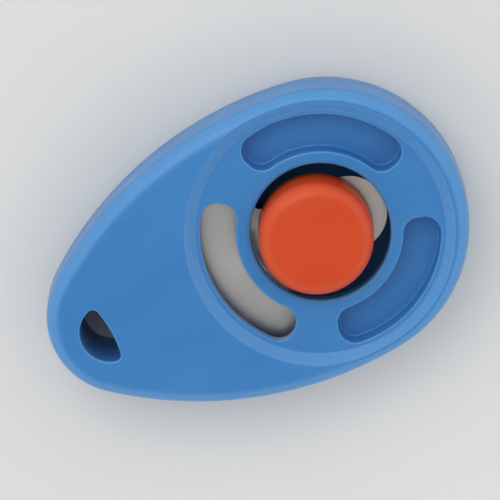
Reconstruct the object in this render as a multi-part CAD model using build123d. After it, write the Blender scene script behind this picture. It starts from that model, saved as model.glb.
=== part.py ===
from build123d import *

import os
from math import cos, radians, sin, sqrt

# A palm-sized clicker for training animals: a teardrop plastic housing in two shells, with a raised
# round button on the end of a spring-steel tongue. Pressing the button bends the tongue until its
# dimple snaps. Three curved slots ring the button: one opens over the tongue and lets the sound out,
# and two are closed by a floor a little way down.
#
# Millimetres. The origin is the centre of the footprint at the underside, +X runs along the long axis
# towards the wide end and +Z is up. The part is close to a mirror image of itself across the XZ plane,
# but the slots and the lanyard hole sit a few degrees round.

# ---- housing outline: an end arc, a tail arc and two flank arcs, all tangent
LENGTH = 70.0
END_RADIUS = 22.6
TAIL_RADIUS = 12.4
FLANK_RADIUS = 61.0

# ---- housing section
TOP_Z = 14.5
PARTING_Z = 6.5
WALL = 2.0
FLOOR = 1.8
DRAFT = 1.5
TOP_EDGE_RADIUS = 2.8
BOTTOM_EDGE_RADIUS = 4.0
SEAM_CHAMFER = 0.25
LIP_HEIGHT = 1.2
LIP_CLEARANCE = 0.06

# ---- dish, button opening and sound slots, centred on the dish axis
DISH_X = 11.4
DISH_RADIUS = 21.4
DISH_FLOOR_RADIUS = 19.6
DISH_DEPTH = 1.4
DISH_FLOOR_ROUND = 0.6
DISH_RIDGE_ROUND = 0.5
DISH_Z = TOP_Z - DISH_DEPTH
DISH_SKIN = 1.8
OPENING_RADIUS = 11.0
OPENING_ROUND = 0.6
SKIRT_DEPTH = 0.9
SKIRT_WALL = 1.4
SLOT_INNER = 13.0
SLOT_OUTER = 18.9
SLOT_CORNER = 2.6
OPEN_SLOT = (185.0, 46.0)  # bearing of its middle, and half the angle it spans
OPEN_SLOT_INNER = 13.3
POCKETS = ((65.0, 46.5), (300.0, 44.0))
POCKET_DEPTH = 3.7
POCKET_WALL = 1.0
POCKET_SKIN = 1.2
POCKET_FLOOR_ROUND = 0.4
RIM_ROUND = 0.35

# ---- lanyard hole, a rounded D through the tail
LANYARD_X = -27.6
LANYARD_Y = -0.8
LANYARD_TURN = 3.5
LANYARD_HALF_WIDTH = 2.5
LANYARD_HALF_HEIGHT = 4.7
LANYARD_FLAT_BULGE = 0.6
LANYARD_CORNER = 1.0
LANYARD_WALL = 1.5

# ---- spring tongue
PLATE_Z = 8.4
PLATE_THICKNESS = 0.45
PLATE_TOP = PLATE_Z + PLATE_THICKNESS
PLATE_REAR_X = -17.4
PLATE_CORNER = 1.2
PLATE_HALF_WIDTH = 14.6
PLATE_SHOULDER_X = 1.2
PLATE_NECK_X = 3.4
PLATE_NECK_HALF_WIDTH = 6.4
PLATE_END_X = 22.4
PLATE_END_RADIUS = 6.0
NOTCH_GAP = 0.35
DIMPLE_X = 3.6
DIMPLE_RADIUS = 4.4
DIMPLE_HEIGHT = 0.6

# ---- tongue clamp: a bar and two screws over a fulcrum rib
CLAMP_X = -14.2
CLAMP_FRONT_X = -10.8
CLAMP_LENGTH = 6.2
CLAMP_HALF_WIDTH = 11.6
CLAMP_THICKNESS = 1.2
CLAMP_SCREW_Y = 8.2
FULCRUM_THICKNESS = 1.6

# ---- button
BUTTON_X = 10.6
BUTTON_RADIUS = 9.1
BUTTON_TOP_Z = 17.9
BUTTON_RIM_Z = 9.7
BUTTON_EDGE_RADIUS = 2.4
BUTTON_WALL = 1.6
BUTTON_BOSS_RADIUS = 2.7
BUTTON_RIB = 1.2
BUTTON_DRAFT = 1.0

# ---- fasteners: small self-tapping screws with cross recesses
THREAD_CREST = 1.1
THREAD_ROOT = 0.8
THREAD_PITCH = 0.8
PILOT_RADIUS = 0.92
SHANK_CLEARANCE = 1.25
HEAD_RADIUS = 2.0
HEAD_HEIGHT = 1.3
RECESS_WIDTH = 0.55
RECESS_REACH = 1.15
RECESS_DEPTH = 0.75
WASHER_RADIUS = 3.0
WASHER_THICKNESS = 0.5
BOSS_RADIUS = 2.7
TOWER_RADIUS = 3.3
BOSS_MEET_Z = 5.5
SCREW_SEAT_Z = 2.8
COUNTERBORE_RADIUS = 2.5
BRIDGE_BOSS_RADIUS = 19.6
BRIDGE_BOSS_BEARINGS = (126.8, 242.0)
END_BOSS_X = 28.2
TAIL_BOSS_X = -20.5
HOUSING_SCREW_LENGTH = 7.0
SHORT_SCREW_LENGTH = 6.0
STOP_PAD_RADIUS = 3.0
STOP_PAD_Z = 4.6


# ---------------------------------------------------------------- shared shapes
def outline(inset=0.0):
    """The housing's teardrop, moved inwards by inset."""
    end_x = LENGTH / 2 - END_RADIUS
    tail_x = TAIL_RADIUS - LENGTH / 2
    span = end_x - tail_x
    to_end = FLANK_RADIUS - END_RADIUS
    to_tail = FLANK_RADIUS - TAIL_RADIUS
    flank_x = tail_x + (span**2 + to_tail**2 - to_end**2) / (2 * span)
    flank = Vector(flank_x, -sqrt(to_tail**2 - (flank_x - tail_x) ** 2))
    radius = FLANK_RADIUS - inset
    at_end = flank + (Vector(end_x, 0) - flank).normalized() * radius
    at_tail = flank + (Vector(tail_x, 0) - flank).normalized() * radius
    between = flank + ((at_end + at_tail) * 0.5 - flank).normalized() * radius
    tip_x = end_x + END_RADIUS - inset
    rear_x = tail_x - TAIL_RADIUS + inset

    def mirrored(point):
        return (point.X, -point.Y)

    arcs = Curve() + [
        ThreePointArc(mirrored(at_end), (tip_x, 0), at_end),
        ThreePointArc(at_end, between, at_tail),
        ThreePointArc(at_tail, (rear_x, 0), mirrored(at_tail)),
        ThreePointArc(mirrored(at_tail), mirrored(between), mirrored(at_end)),
    ]
    return make_face(arcs)


def slab(face, low, high, taper=0.0):
    """A face drawn on the XY plane, made solid from height low to height high."""
    return extrude(Pos(0, 0, low) * face, amount=high - low, taper=taper)


def disc(x, y, radius, low, high):
    """A round post or hole."""
    return Pos(x, y, low) * extrude(Circle(radius), amount=high - low)


def lanyard_hole(wall=0.0):
    """The rounded D of the lanyard hole, or the outline of the tube that lines it."""
    half, high = LANYARD_HALF_WIDTH, LANYARD_HALF_HEIGHT
    corner = half - LANYARD_FLAT_BULGE
    arcs = Curve() + [
        ThreePointArc((corner, -high), (half, 0), (corner, high)),
        ThreePointArc((corner, high), (-half, 0), (corner, -high)),
    ]
    face = make_face(arcs)
    face = fillet(face.vertices(), LANYARD_CORNER)
    face = offset(face, wall) if wall else face
    return Pos(LANYARD_X, LANYARD_Y) * (Rot(0, 0, LANYARD_TURN) * face)


def slot_face(bearing, half_angle, inner=SLOT_INNER):
    """One curved slot: a ring sector with rounded corners, about the dish axis."""
    reach = 2 * SLOT_OUTER
    across = reach * sin(radians(half_angle))
    along = reach * cos(radians(half_angle))
    wedge = make_face(Polyline((0, 0), (along, -across), (along, across), close=True))
    sector = (Circle(SLOT_OUTER) - Circle(inner)) & wedge
    sector = fillet(sector.vertices(), SLOT_CORNER)
    return Pos(DISH_X, 0) * (Rot(0, 0, bearing) * sector)


def screw(length):
    """A pan-head self-tapping screw with its head's underside at the origin and its point up."""
    turns = int((length - 1.6) / THREAD_PITCH)
    profile = [(0, -HEAD_HEIGHT), (HEAD_RADIUS * 0.55, -HEAD_HEIGHT), (HEAD_RADIUS, -HEAD_HEIGHT * 0.45)]
    profile += [(HEAD_RADIUS, 0), (THREAD_ROOT, 0), (THREAD_ROOT, 0.6)]
    for turn in range(turns):
        low = 0.6 + turn * THREAD_PITCH
        profile += [(THREAD_CREST, low + 0.4 * THREAD_PITCH), (THREAD_ROOT, low + 0.8 * THREAD_PITCH)]
    profile += [(THREAD_ROOT, length - 1.0), (0.15, length), (0, length)]
    body = revolve(Plane.XZ * make_face(Polyline(profile, close=True)), Axis.Z)
    cross = Box(2 * RECESS_REACH, RECESS_WIDTH, RECESS_DEPTH)
    cross += Box(RECESS_WIDTH, 2 * RECESS_REACH, RECESS_DEPTH)
    return body - Pos(0, 0, -HEAD_HEIGHT + RECESS_DEPTH / 2) * cross


def housing_screw_places():
    """Centres of the four housing screws: wide end, tail, and one each side between two slots."""
    sides = [radians(bearing) for bearing in BRIDGE_BOSS_BEARINGS]
    reach = BRIDGE_BOSS_RADIUS
    return [(END_BOSS_X, 0), (TAIL_BOSS_X, 0)] + [(DISH_X + reach * cos(b), reach * sin(b)) for b in sides]


def edges_at(shape, height):
    """The edges that lie flat at one height."""
    return shape.edges().filter_by_position(Axis.Z, height - 0.01, height + 0.01)


# ---------------------------------------------------------------- housing
def dish():
    """The round hollow about the button, as the solid that is cut away."""
    above = TOP_Z + 3
    slope = (DISH_RADIUS - DISH_FLOOR_RADIUS) / DISH_DEPTH
    profile = Polyline(
        (0, DISH_Z),
        (DISH_FLOOR_RADIUS, DISH_Z),
        (DISH_FLOOR_RADIUS + slope * (above - DISH_Z), above),
        (0, above),
        close=True,
    )
    hollow = revolve(Plane.XZ * make_face(profile), Axis.Z)
    hollow = fillet(edges_at(hollow, DISH_Z), DISH_FLOOR_ROUND)
    return Pos(DISH_X, 0, 0) * hollow


def reach_of(edge):
    """How far the middle of an edge lies from the dish axis."""
    middle = edge @ 0.5
    return (Vector(middle.X, middle.Y, 0) - Vector(DISH_X, 0, 0)).length


def dish_edges(shell, low, high):
    """The edges in the dish floor whose middles lie between two radii."""
    return edges_at(shell, DISH_Z).filter_by(lambda edge: low < reach_of(edge) < high)


def ridge_edges(shell):
    """The edges where the dish's sloping side meets the top and the rounded outer edge."""
    def on_ridge(edge):
        return (edge @ 0.5).Z > DISH_Z + 0.6 and DISH_FLOOR_RADIUS < reach_of(edge) < DISH_RADIUS + 0.1

    return shell.edges().filter_by(on_ridge)


def top_shell():
    shell = slab(outline(), PARTING_Z, TOP_Z, taper=DRAFT)
    shell = fillet(edges_at(shell, TOP_Z), TOP_EDGE_RADIUS)
    shell = chamfer(edges_at(shell, PARTING_Z), SEAM_CHAMFER)
    shell -= dish()
    shell = fillet(ridge_edges(shell), DISH_RIDGE_ROUND)

    # inside: one hollow under the tail, a lower ceiling under the dish, and a step for the lip
    ceiling_z = TOP_Z - FLOOR
    dish_ceiling_z = DISH_Z - DISH_SKIN
    hollow = slab(outline(WALL), PARTING_Z - 1, ceiling_z)
    hollow -= disc(DISH_X, 0, DISH_RADIUS + WALL - 0.4, dish_ceiling_z, TOP_Z)
    hollow += slab(outline(WALL / 2), PARTING_Z - 1, PARTING_Z + LIP_HEIGHT + 0.1)
    tube = slab(lanyard_hole(LANYARD_WALL), PARTING_Z, TOP_Z)
    hollow -= tube
    shell -= hollow

    # screw bosses hang from the ceiling
    for x, y in housing_screw_places():
        roof = ceiling_z if x == TAIL_BOSS_X else dish_ceiling_z
        shell += disc(x, y, BOSS_RADIUS, BOSS_MEET_Z, roof + 0.2)
    # a skirt stiffens the edge of the button opening
    shell += disc(DISH_X, 0, OPENING_RADIUS + SKIRT_WALL, dish_ceiling_z - SKIRT_DEPTH, DISH_Z)

    # two of the slots are pockets with a floor of their own
    pocket_z = DISH_Z - POCKET_DEPTH
    for bearing, half_angle in POCKETS:
        walls = offset(slot_face(bearing, half_angle), POCKET_WALL)
        shell += slab(walls, pocket_z - POCKET_SKIN, DISH_Z)

    shell -= disc(DISH_X, 0, OPENING_RADIUS, PARTING_Z, TOP_Z)
    shell -= slab(slot_face(*OPEN_SLOT, OPEN_SLOT_INNER), PARTING_Z, TOP_Z)
    for bearing, half_angle in POCKETS:
        pocket = slab(slot_face(bearing, half_angle), pocket_z, TOP_Z)
        shell -= fillet(edges_at(pocket, pocket_z), POCKET_FLOOR_ROUND)
    shell -= slab(lanyard_hole(), PARTING_Z - 1, TOP_Z + 1)
    for x, y in housing_screw_places():
        shell -= disc(x, y, PILOT_RADIUS, BOSS_MEET_Z, BOSS_MEET_Z + 4.9)

    # soften the mouths of the slots and the lanyard hole, and round the mouth of the button opening more
    hole = Vector(LANYARD_X, LANYARD_Y, TOP_Z)
    hole_reach = 2 * LANYARD_HALF_WIDTH
    mouths = edges_at(shell, TOP_Z).filter_by(lambda edge: (edge @ 0.5 - hole).length < hole_reach)
    mouths += dish_edges(shell, SLOT_INNER - 1, SLOT_OUTER + 0.1)
    shell = fillet(mouths, RIM_ROUND)
    return fillet(dish_edges(shell, 0, OPENING_RADIUS + 0.1), OPENING_ROUND)


def bottom_shell():
    shell = Pos(0, 0, PARTING_Z) * (Rot(180, 0, 0) * slab(outline(), 0, PARTING_Z, taper=DRAFT))
    shell = fillet(edges_at(shell, 0), BOTTOM_EDGE_RADIUS)
    shell = chamfer(edges_at(shell, PARTING_Z), SEAM_CHAMFER)
    cavity = slab(outline(WALL), FLOOR, PARTING_Z + 1)
    cavity = fillet(edges_at(cavity, FLOOR), BOTTOM_EDGE_RADIUS - WALL)
    shell -= cavity
    lip = outline(WALL / 2 + LIP_CLEARANCE) - outline(WALL)
    shell += slab(lip, PARTING_Z - 0.5, PARTING_Z + LIP_HEIGHT)

    # tube round the lanyard hole, meeting the one in the top shell
    shell += slab(lanyard_hole(LANYARD_WALL), 0.5, PARTING_Z)
    # fulcrum rib the tongue bends over, a rear rib, and webs joining them
    span = 2 * CLAMP_HALF_WIDTH
    front_rib = CLAMP_FRONT_X - FULCRUM_THICKNESS / 2
    shell += Pos(front_rib, 0, PLATE_Z / 2 + 0.5) * Box(FULCRUM_THICKNESS, span, PLATE_Z - 1)
    shell += Pos(PLATE_REAR_X + 0.6, 0, PLATE_Z / 2 + 0.5) * Box(1.2, span, PLATE_Z - 1)
    for y in (-CLAMP_SCREW_Y, CLAMP_SCREW_Y):
        shell += disc(CLAMP_X, y, BOSS_RADIUS, 1, PLATE_Z)
    # stop pad that ends the button's travel
    shell += disc(BUTTON_X, 0, STOP_PAD_RADIUS, 1, STOP_PAD_Z)
    for x, y in housing_screw_places():
        shell += disc(x, y, TOWER_RADIUS, 1, BOSS_MEET_Z)

    shell -= slab(lanyard_hole(), -1, PARTING_Z + 1)
    for y in (-CLAMP_SCREW_Y, CLAMP_SCREW_Y):
        shell -= disc(CLAMP_X, y, PILOT_RADIUS, FLOOR, PLATE_Z + 1)
    for x, y in housing_screw_places():
        shell -= disc(x, y, COUNTERBORE_RADIUS, -1, SCREW_SEAT_Z)
        shell -= disc(x, y, SHANK_CLEARANCE, 0, BOSS_MEET_Z + 1)
    return shell


def housing_screws():
    fastener = screw(HOUSING_SCREW_LENGTH)
    return Compound(children=[Pos(x, y, SCREW_SEAT_Z) * fastener for x, y in housing_screw_places()])


# ---------------------------------------------------------------- spring and clamp
def click_plate():
    """A wide strip notched for two bosses, then a narrow tongue with a round end and a snap dimple."""
    end_x, end_y = PLATE_END_X - PLATE_END_RADIUS, PLATE_END_RADIUS
    side = [(PLATE_NECK_X, PLATE_NECK_HALF_WIDTH), (PLATE_SHOULDER_X, PLATE_HALF_WIDTH)]
    side += [(PLATE_REAR_X, PLATE_HALF_WIDTH)]
    edges = Curve() + [
        Polyline((end_x, end_y), *side, *[(x, -y) for x, y in reversed(side)], (end_x, -end_y)),
        ThreePointArc((end_x, -end_y), (PLATE_END_X, 0), (end_x, end_y)),
    ]
    face = make_face(edges)
    face = fillet(face.vertices().group_by(Axis.X)[0], PLATE_CORNER)
    inner = face.vertices().filter_by(lambda corner: PLATE_REAR_X + 5 < corner.X < end_x)
    face = fillet(inner, PLATE_CORNER)
    for x, y in housing_screw_places():
        face -= Pos(x, y) * Circle(BOSS_RADIUS + NOTCH_GAP)
    plate = slab(face, PLATE_Z, PLATE_TOP)
    sphere_radius = (DIMPLE_RADIUS**2 + DIMPLE_HEIGHT**2) / (2 * DIMPLE_HEIGHT)
    above = Pos(0, 0, PLATE_TOP + 5) * Box(99, 99, 10)
    below = Pos(0, 0, PLATE_Z + 4.999) * Box(99, 99, 10)
    centre = Pos(DIMPLE_X, 0, PLATE_TOP + DIMPLE_HEIGHT - sphere_radius)
    plate += (centre * Sphere(sphere_radius)) & above
    plate -= (centre * Sphere(sphere_radius - PLATE_THICKNESS)) & below
    for y in (-CLAMP_SCREW_Y, CLAMP_SCREW_Y):
        plate -= disc(CLAMP_X, y, SHANK_CLEARANCE, PLATE_Z - 1, PLATE_TOP + 1)
    plate -= disc(BUTTON_X, 0, SHANK_CLEARANCE, PLATE_Z - 1, PLATE_TOP + 1)
    return plate


def plate_clamp_bar():
    bar = Rectangle(CLAMP_LENGTH, 2 * CLAMP_HALF_WIDTH)
    bar = fillet(bar.vertices(), 1.2)
    bar = slab(Pos(CLAMP_X, 0) * bar, PLATE_TOP, PLATE_TOP + CLAMP_THICKNESS)
    bar = chamfer(edges_at(bar, PLATE_TOP + CLAMP_THICKNESS), 0.25)
    for y in (-CLAMP_SCREW_Y, CLAMP_SCREW_Y):
        bar -= disc(CLAMP_X, y, SHANK_CLEARANCE, PLATE_TOP - 1, PLATE_TOP + 3)
    return bar


def plate_screws():
    fastener = Pos(0, 0, PLATE_TOP + CLAMP_THICKNESS) * (Rot(180, 0, 0) * screw(SHORT_SCREW_LENGTH))
    return Compound(children=[Pos(CLAMP_X, y, 0) * fastener for y in (-CLAMP_SCREW_Y, CLAMP_SCREW_Y)])


# ---------------------------------------------------------------- button
def button_cap():
    """A hollow round cap with a central boss that the screw holds down on the tongue."""
    cap = slab(Circle(BUTTON_RADIUS), BUTTON_RIM_Z, BUTTON_TOP_Z, taper=BUTTON_DRAFT)
    cap = fillet(edges_at(cap, BUTTON_TOP_Z), BUTTON_EDGE_RADIUS)
    roof_z = BUTTON_TOP_Z - BUTTON_WALL
    hollow = slab(Circle(BUTTON_RADIUS - BUTTON_WALL), BUTTON_RIM_Z - 1, roof_z, taper=BUTTON_DRAFT)
    hollow = fillet(edges_at(hollow, roof_z), 1.0)
    ribs = Pos(0, 0, roof_z - 2) * Box(2 * BUTTON_RADIUS, BUTTON_RIB, 4)
    ribs += Pos(0, 0, roof_z - 2) * Box(BUTTON_RIB, 2 * BUTTON_RADIUS, 4)
    cap -= hollow - ribs
    cap += disc(0, 0, BUTTON_BOSS_RADIUS, PLATE_TOP, roof_z + 0.4)
    cap -= disc(0, 0, PILOT_RADIUS, PLATE_TOP - 1, PLATE_TOP + 6)
    return Pos(BUTTON_X, 0, 0) * cap


def button_washer():
    low = PLATE_Z - WASHER_THICKNESS
    washer = disc(BUTTON_X, 0, WASHER_RADIUS, low, PLATE_Z)
    return washer - disc(BUTTON_X, 0, SHANK_CLEARANCE, low - 1, PLATE_Z + 1)


def button_screw():
    return Pos(BUTTON_X, 0, PLATE_Z - WASHER_THICKNESS) * screw(SHORT_SCREW_LENGTH)


PIECES = {
    "top_shell": top_shell,
    "bottom_shell": bottom_shell,
    "click_plate": click_plate,
    "plate_clamp_bar": plate_clamp_bar,
    "plate_screws": plate_screws,
    "housing_screws": housing_screws,
    "button_cap": button_cap,
    "button_washer": button_washer,
    "button_screw": button_screw,
}

if __name__ == "__main__":
    os.makedirs("parts", exist_ok=True)
    for name, make in PIECES.items():
        export_step(make(), f"parts/{name}.step")
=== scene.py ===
import math

import bmesh
import bpy
from mathutils import Matrix, Vector


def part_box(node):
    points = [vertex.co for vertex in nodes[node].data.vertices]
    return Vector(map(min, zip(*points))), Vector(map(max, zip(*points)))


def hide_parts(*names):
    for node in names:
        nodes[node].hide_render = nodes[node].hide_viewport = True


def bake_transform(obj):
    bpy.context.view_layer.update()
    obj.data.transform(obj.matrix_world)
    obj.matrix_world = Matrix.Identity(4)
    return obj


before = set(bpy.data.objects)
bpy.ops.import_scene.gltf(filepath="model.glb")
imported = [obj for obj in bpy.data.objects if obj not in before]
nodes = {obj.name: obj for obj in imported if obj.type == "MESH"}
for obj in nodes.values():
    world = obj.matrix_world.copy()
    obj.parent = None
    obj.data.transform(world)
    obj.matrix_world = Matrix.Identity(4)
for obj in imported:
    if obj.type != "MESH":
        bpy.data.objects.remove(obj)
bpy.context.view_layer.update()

MM = 0.001

# heights between which the plastic is out of a hand's reach, inside the pockets, and gets neither
# the rub wear nor the painted highlight of the edges
SHELL_TOP_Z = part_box("top_shell")[1][2]
POCKET_MOUTH_Z = SHELL_TOP_Z - 1.9 * MM
POCKET_FLOOR_Z = SHELL_TOP_Z - 5.2 * MM
POCKET_BLUR = 0.3 * MM

# pattern scales, in cells per metre, from the coarsest to the finest
FLOOR_SCALE = 9
FLOW_SCALE = 38
MOTTLE_SCALE = 110
SINK_SCALE = 150
OIL_SCALE = 190
CLOUD_SCALE = 900
ROLL_SCALE = 900
RUB_AND_HIGHLIGHT_SCALE = 2600
CRYSTAL_SCALE = 2600
GRAIN_SCALE = 3000
SPECK_SCALE = 4600

# how much finer a pattern is along each axis
FLOW_STRETCH = (1.0, 1.7, 1.0)
ROLL_STRETCH = (0.05, 4.0, 1.0)

# depths of the bumps
SINK_DEPTH = 0.05 * MM
GRAIN_DEPTH = 0.014 * MM
CLOUD_DEPTH = 0.01 * MM
CRYSTAL_DEPTH = 0.006 * MM
ROLL_DEPTH = 0.0003 * MM

# cuts across the tongue, numbered from the origin towards the button
CUT_STEP = 0.5 * MM
FIRST_CUT = -22
LAST_CUT = 11
SAME_POINT = 1e-7
SHARP_ANGLE = math.radians(35)

# light: one soft key light, and a dome that is dimmer overhead and on the side away from the key
KEY_PLACE = (-0.05, 0.55, 0.8)
KEY_SIZE = 0.7
KEY_POWER = 2.0
KEY_COLOUR = (1.0, 0.99, 0.97)
SKY_COLOUR = (0.98, 0.99, 1.0, 1.0)
SKY_LOW = 1.1
SKY_TOP = 0.55
SKY_FAR = 0.88
UP = (0.0, 0.0, 1.0)
TOP_FADE = (0.7, 0.93)
FAR_SIDE = (-0.417, -0.909, 0.0)
FAR_FADE = (0.0, 0.8)

# floor
FLOOR_HALF_SIZE = 1.5
FLOOR_DROP = 0.05 * MM

# camera
CAMERA_HEADING = math.radians(24.68)
CAMERA_LEAN = math.radians(14.0)
CAMERA_AIM_Z = 12.0 * MM
CAMERA_DISTANCE = 0.62
CAMERA_SHIFT = (-0.7 * MM, 1.6 * MM)
VIEW_WIDTH = 78.6 * MM
SENSOR_WIDTH = 36.0
CLIP_START = 0.01


# ---------------------------------------------------------------- node helpers
class Tree:
    """A material's node tree, with short ways to add and join nodes."""

    def __init__(self, name):
        self.material = bpy.data.materials.new(name)
        self.material.use_nodes = True
        self.nodes = self.material.node_tree.nodes
        self.links = self.material.node_tree.links
        self.shader = self.nodes["Principled BSDF"]
        self.place = self.nodes.new("ShaderNodeTexCoord").outputs["Object"]

    def add(self, kind, inputs=None, **settings):
        node = self.nodes.new(kind)
        for key, value in settings.items():
            setattr(node, key, value)
        for key, value in (inputs or {}).items():
            self.feed(node.inputs[key], value)
        return node

    def feed(self, socket, value):
        if isinstance(value, bpy.types.NodeSocket):
            self.links.new(value, socket)
        else:
            socket.default_value = value

    def math(self, operation, first, second=0.0):
        return self.add("ShaderNodeMath", {0: first, 1: second}, operation=operation).outputs[0]

    def spread(self, value, low, high, to_low=0.0, to_high=1.0, smooth=False):
        limits = {"From Min": low, "From Max": high, "To Min": to_low, "To Max": to_high}
        node = self.add("ShaderNodeMapRange", {"Value": value, **limits})
        if smooth:
            node.interpolation_type = "SMOOTHSTEP"
        return node.outputs["Result"]

    def noise(self, scale, detail=3.0, roughness=0.5, where=None):
        amounts = {"Scale": scale, "Detail": detail, "Roughness": roughness}
        node = self.add("ShaderNodeTexNoise", {"Vector": where or self.place, **amounts})
        return node.outputs["Fac"]

    def stretched(self, scale, turn=(0.0, 0.0, 0.0)):
        amounts = {"Scale": scale, "Rotation": turn}
        return self.add("ShaderNodeMapping", {"Vector": self.place, **amounts}).outputs["Vector"]

    def mix(self, factor, first, second):
        """A blend of two colours: a mix node's colours are its inputs 6 and 7 and its output 2."""
        node = self.add("ShaderNodeMix", {0: factor}, data_type="RGBA")
        self.feed(node.inputs[6], first)
        self.feed(node.inputs[7], second)
        return node.outputs[2]

    def bump(self, height, distance, strength, normal=None):
        amounts = {"Distance": distance, "Strength": strength}
        node = self.add("ShaderNodeBump", {"Height": height, **amounts})
        if normal:
            self.links.new(normal, node.inputs["Normal"])
        return node.outputs["Normal"]

    def set(self, **sockets):
        for key, value in sockets.items():
            self.feed(self.shader.inputs[key.replace("_", " ")], value)
        return self.material


def linear(red, green, blue):
    """An sRGB colour of 0 to 255 as linear RGBA."""

    def channel(value):
        value /= 255
        return value / 12.92 if value <= 0.04045 else ((value + 0.055) / 1.055) ** 2.4

    return (channel(red), channel(green), channel(blue), 1.0)


def wear_and_highlight_mask(tree):
    """Where edges are rubbed paler and carry a painted highlight: 1 on edges and slopes in a
    hand's reach, 0 on flats, upright walls and pocket floors.
    """
    normal = tree.add("ShaderNodeTexCoord").outputs["Normal"]
    up = tree.math("ABSOLUTE", tree.add("ShaderNodeSeparateXYZ", {0: normal}).outputs["Z"])
    rising = tree.spread(up, 0.12, 0.45, smooth=True)
    falling = tree.spread(up, 0.86, 0.985, 1.0, 0.0, smooth=True)
    height = tree.add("ShaderNodeSeparateXYZ", {0: tree.place}).outputs["Z"]
    above = tree.spread(height, POCKET_MOUTH_Z - POCKET_BLUR, POCKET_MOUTH_Z)
    below = tree.spread(height, POCKET_FLOOR_Z - POCKET_BLUR, POCKET_FLOOR_Z, 1.0, 0.0)
    outside_pockets = tree.math("MAXIMUM", above, below)
    return tree.math("MULTIPLY", tree.math("MULTIPLY", rising, falling), outside_pockets)


# ---------------------------------------------------------------- materials
def moulded_plastic(name, colour, shade, worn_and_highlit, roughness):
    """Moulded ABS: a fine eggshell grain, faint flow marks, and edges and slopes made a little
    paler, partly as rub wear and partly as a painted highlight.
    """
    tree = Tree(name)
    flow = tree.noise(FLOW_SCALE, 3.0, 0.55, tree.stretched(FLOW_STRETCH))
    base = tree.mix(tree.spread(flow, 0.36, 0.64), shade, colour)
    specks = tree.spread(tree.noise(SPECK_SCALE, 1.0), 0.62, 0.8, 0.0, 0.3)
    base = tree.mix(specks, base, shade)
    # paler colour on edges and slopes: partly rub wear, partly a painted highlight
    rub_and_highlight = tree.spread(tree.noise(RUB_AND_HIGHLIGHT_SCALE), 0.3, 0.7, 0.22, 0.36)
    rub_and_highlight = tree.math("MULTIPLY", wear_and_highlight_mask(tree), rub_and_highlight)
    base = tree.mix(rub_and_highlight, base, worn_and_highlit)

    mottle = tree.noise(MOTTLE_SCALE, 4.0, 0.6)
    mottle = tree.spread(mottle, 0.3, 0.7, roughness - 0.04, roughness + 0.05)
    rough = tree.math("ADD", mottle, tree.math("MULTIPLY", rub_and_highlight, 0.1))
    bump = tree.bump(tree.noise(SINK_SCALE, 2.0), SINK_DEPTH, 0.5)
    bump = tree.bump(tree.noise(GRAIN_SCALE, 2.0, 0.6), GRAIN_DEPTH, 0.6, bump)
    return tree.set(
        Base_Color=base, Roughness=rough, Normal=bump, IOR=1.48, Specular_IOR_Level=0.42,
        Subsurface_Weight=0.04, Subsurface_Radius=(0.0006, 0.0006, 0.0009), Subsurface_Scale=0.5,
    )


def rolled_steel(name, colour, shade, roughness, grain_turn=0.0):
    """Cold-rolled steel: long fine roll lines, oil-dark patches and a soft, uneven shine."""
    tree = Tree(name)
    along = tree.stretched(ROLL_STRETCH, (0.0, 0.0, grain_turn))
    lines = tree.noise(ROLL_SCALE, 3.0, 0.65, along)
    patches = tree.noise(OIL_SCALE, 4.0, 0.6)
    base = tree.mix(tree.spread(lines, 0.3, 0.7), shade, colour)
    base = tree.mix(tree.spread(patches, 0.45, 0.75, 0.0, 0.4), base, shade)
    rough = tree.spread(patches, 0.3, 0.7, roughness - 0.04, roughness + 0.06)
    rough = tree.math("ADD", rough, tree.spread(lines, 0.3, 0.7, -0.015, 0.02))
    bump = tree.bump(lines, ROLL_DEPTH, 0.3)
    return tree.set(Base_Color=base, Roughness=rough, Normal=bump, Metallic=1.0, Anisotropic=0.35)


def plated_steel(name, colour, shade, roughness):
    """Zinc-plated hardware: a fine crystalline mottle and a cloudy, uneven tone and shine."""
    tree = Tree(name)
    crystals = tree.add("ShaderNodeTexVoronoi", {"Vector": tree.place, "Scale": CRYSTAL_SCALE})
    cloud = tree.noise(CLOUD_SCALE, 4.0, 0.65)
    base = tree.mix(tree.spread(cloud, 0.35, 0.7), shade, colour)
    rough = tree.spread(cloud, 0.3, 0.7, roughness - 0.05, roughness + 0.08)
    bump = tree.bump(cloud, CLOUD_DEPTH, 0.5)
    bump = tree.bump(crystals.outputs["Distance"], CRYSTAL_DEPTH, 0.5, bump)
    return tree.set(Base_Color=base, Roughness=rough, Normal=bump, Metallic=1.0)


# the third colour of each plastic is its paler edge colour: rub wear and a painted highlight
# together
housing_plastic = moulded_plastic(
    "housing_plastic", linear(57, 126, 189), linear(52, 120, 183), linear(112, 174, 228), 0.3)
base_plastic = moulded_plastic(
    "base_plastic", linear(57, 123, 184), linear(51, 115, 176), linear(106, 166, 220), 0.34)
button_plastic = moulded_plastic(
    "button_plastic", linear(208, 70, 20), linear(201, 63, 15), linear(215, 84, 36), 0.38)
spring_steel = rolled_steel("spring_steel", linear(202, 198, 194), linear(192, 189, 185), 0.36)
clamp_steel = rolled_steel(
    "clamp_steel", linear(170, 170, 168), linear(128, 128, 128), 0.42, grain_turn=math.pi / 2)
washer_steel = plated_steel("washer_steel", linear(186, 186, 184), linear(150, 152, 154), 0.34)
screw_steel = plated_steel("screw_steel", linear(190, 190, 188), linear(150, 152, 155), 0.3)

FINISHES = {
    "top_shell": housing_plastic,
    "bottom_shell": base_plastic,
    "click_plate": spring_steel,
    "plate_clamp_bar": clamp_steel,
    "plate_screws": screw_steel,
    "housing_screws": screw_steel,
    "button_cap": button_plastic,
    "button_washer": washer_steel,
    "button_screw": screw_steel,
}
for name, finish in FINISHES.items():
    nodes[name].data.materials.clear()
    nodes[name].data.materials.append(finish)


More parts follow.
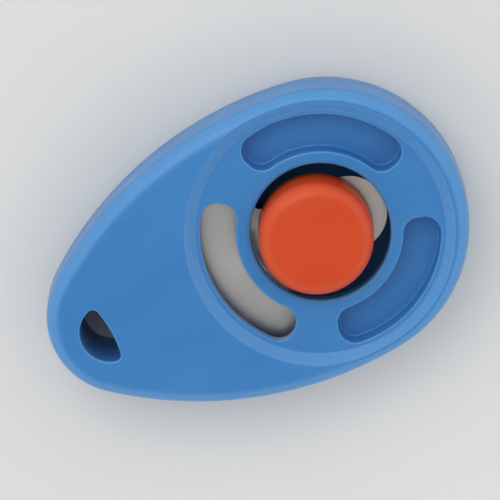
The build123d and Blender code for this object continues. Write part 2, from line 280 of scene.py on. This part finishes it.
# ---------------------------------------------------------------- the bending tongue
def tongue():
    """The spring tongue, cut across at even steps over its free length so that it can bend."""
    mesh = bpy.data.meshes.new("spring_tongue")
    bm = bmesh.new()
    bm.from_mesh(nodes["click_plate"].data)
    bmesh.ops.remove_doubles(bm, verts=bm.verts, dist=SAME_POINT)
    for cut in range(FIRST_CUT, LAST_CUT + 1):
        bmesh.ops.bisect_plane(
            bm, geom=bm.verts[:] + bm.edges[:] + bm.faces[:], dist=SAME_POINT,
            plane_co=(cut * CUT_STEP, 0.0, 0.0), plane_no=(1.0, 0.0, 0.0),
        )
    for face in bm.faces:
        face.smooth = True
    for edge in bm.edges:
        edge.smooth = len(edge.link_faces) == 2 and edge.calc_face_angle() < SHARP_ANGLE
    bm.to_mesh(mesh)
    bm.free()
    mesh.materials.append(spring_steel)
    piece = bpy.data.objects.new("spring_tongue", mesh)
    bpy.context.scene.collection.objects.link(piece)
    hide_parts("click_plate")
    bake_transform(piece)
    return piece


tongue()


# ---------------------------------------------------------------- floor, lights and camera
def floor():
    """A pale matt floor, a hair below the underside so that the two faces don't coincide."""
    tree = Tree("pale_floor")
    tone = tree.spread(tree.noise(FLOOR_SCALE, 2.0), 0.3, 0.7)
    base = tree.mix(tone, linear(217, 217, 215), linear(222, 222, 220))
    tree.set(Base_Color=base, Roughness=tree.spread(tone, 0.0, 1.0, 0.62, 0.7))
    mesh = bpy.data.meshes.new("floor")
    bm = bmesh.new()
    bmesh.ops.create_grid(bm, x_segments=1, y_segments=1, size=FLOOR_HALF_SIZE)
    bm.to_mesh(mesh)
    bm.free()
    mesh.materials.append(tree.material)
    piece = bpy.data.objects.new("floor", mesh)
    piece.location.z = -FLOOR_DROP
    bpy.context.scene.collection.objects.link(piece)


def area_light(name, place, size, power, colour):
    """A round soft light that points at the origin."""
    light = bpy.data.lights.new(name, "AREA")
    light.shape = "DISK"
    light.size = size
    light.energy = power
    light.color = colour
    lamp = bpy.data.objects.new(name, light)
    bpy.context.scene.collection.objects.link(lamp)
    lamp.location = place
    lamp.rotation_euler = (-Vector(place)).to_track_quat("-Z", "Y").to_euler()


def sky():
    """A soft studio dome, dimmer overhead and on the side away from the key light."""
    world = bpy.data.worlds.new("world")
    world.use_nodes = True
    tree = world.node_tree
    background = tree.nodes["Background"]
    background.inputs["Color"].default_value = SKY_COLOUR
    direction = tree.nodes.new("ShaderNodeTexCoord").outputs["Generated"]

    def fade(towards, limits, levels):
        """Goes from the first level to the second as a ray turns towards a direction."""
        along = tree.nodes.new("ShaderNodeVectorMath")
        along.operation = "DOT_PRODUCT"
        along.inputs[1].default_value = towards
        tree.links.new(direction, along.inputs[0])
        ramp = tree.nodes.new("ShaderNodeMapRange")
        ramp.interpolation_type = "SMOOTHSTEP"
        for key, value in zip(("From Min", "From Max", "To Min", "To Max"), limits + levels):
            ramp.inputs[key].default_value = value
        tree.links.new(along.outputs["Value"], ramp.inputs["Value"])
        return ramp.outputs["Result"]

    strength = tree.nodes.new("ShaderNodeMath")
    strength.operation = "MULTIPLY"
    tree.links.new(fade(UP, TOP_FADE, (SKY_LOW, SKY_TOP)), strength.inputs[0])
    tree.links.new(fade(FAR_SIDE, FAR_FADE, (1.0, SKY_FAR)), strength.inputs[1])
    tree.links.new(strength.outputs[0], background.inputs["Strength"])
    return world


def camera():
    """Almost straight down, leaning a little over the long side, with the tail at lower left."""
    right = Vector((math.cos(CAMERA_HEADING), -math.sin(CAMERA_HEADING), 0.0))
    away = Vector((math.sin(CAMERA_HEADING), math.cos(CAMERA_HEADING), 0.0))
    towards = away * math.sin(CAMERA_LEAN) + Vector(UP) * math.cos(CAMERA_LEAN)
    up = away * math.cos(CAMERA_LEAN) - Vector(UP) * math.sin(CAMERA_LEAN)
    target = Vector(UP) * CAMERA_AIM_Z + right * CAMERA_SHIFT[0] + up * CAMERA_SHIFT[1]
    place = target + towards * CAMERA_DISTANCE
    data = bpy.data.cameras.new("camera")
    data.sensor_width = SENSOR_WIDTH
    data.lens = SENSOR_WIDTH * CAMERA_DISTANCE / VIEW_WIDTH
    data.clip_start = CLIP_START
    eye = bpy.data.objects.new("camera", data)
    bpy.context.scene.collection.objects.link(eye)
    turn = Matrix((right, up, towards)).transposed().to_4x4()
    eye.matrix_world = Matrix.Translation(place) @ turn
    bpy.context.scene.camera = eye


floor()
area_light("key", KEY_PLACE, KEY_SIZE, KEY_POWER, KEY_COLOUR)
bpy.context.scene.world = sky()
bpy.context.scene.view_settings.view_transform = "Standard"
camera()
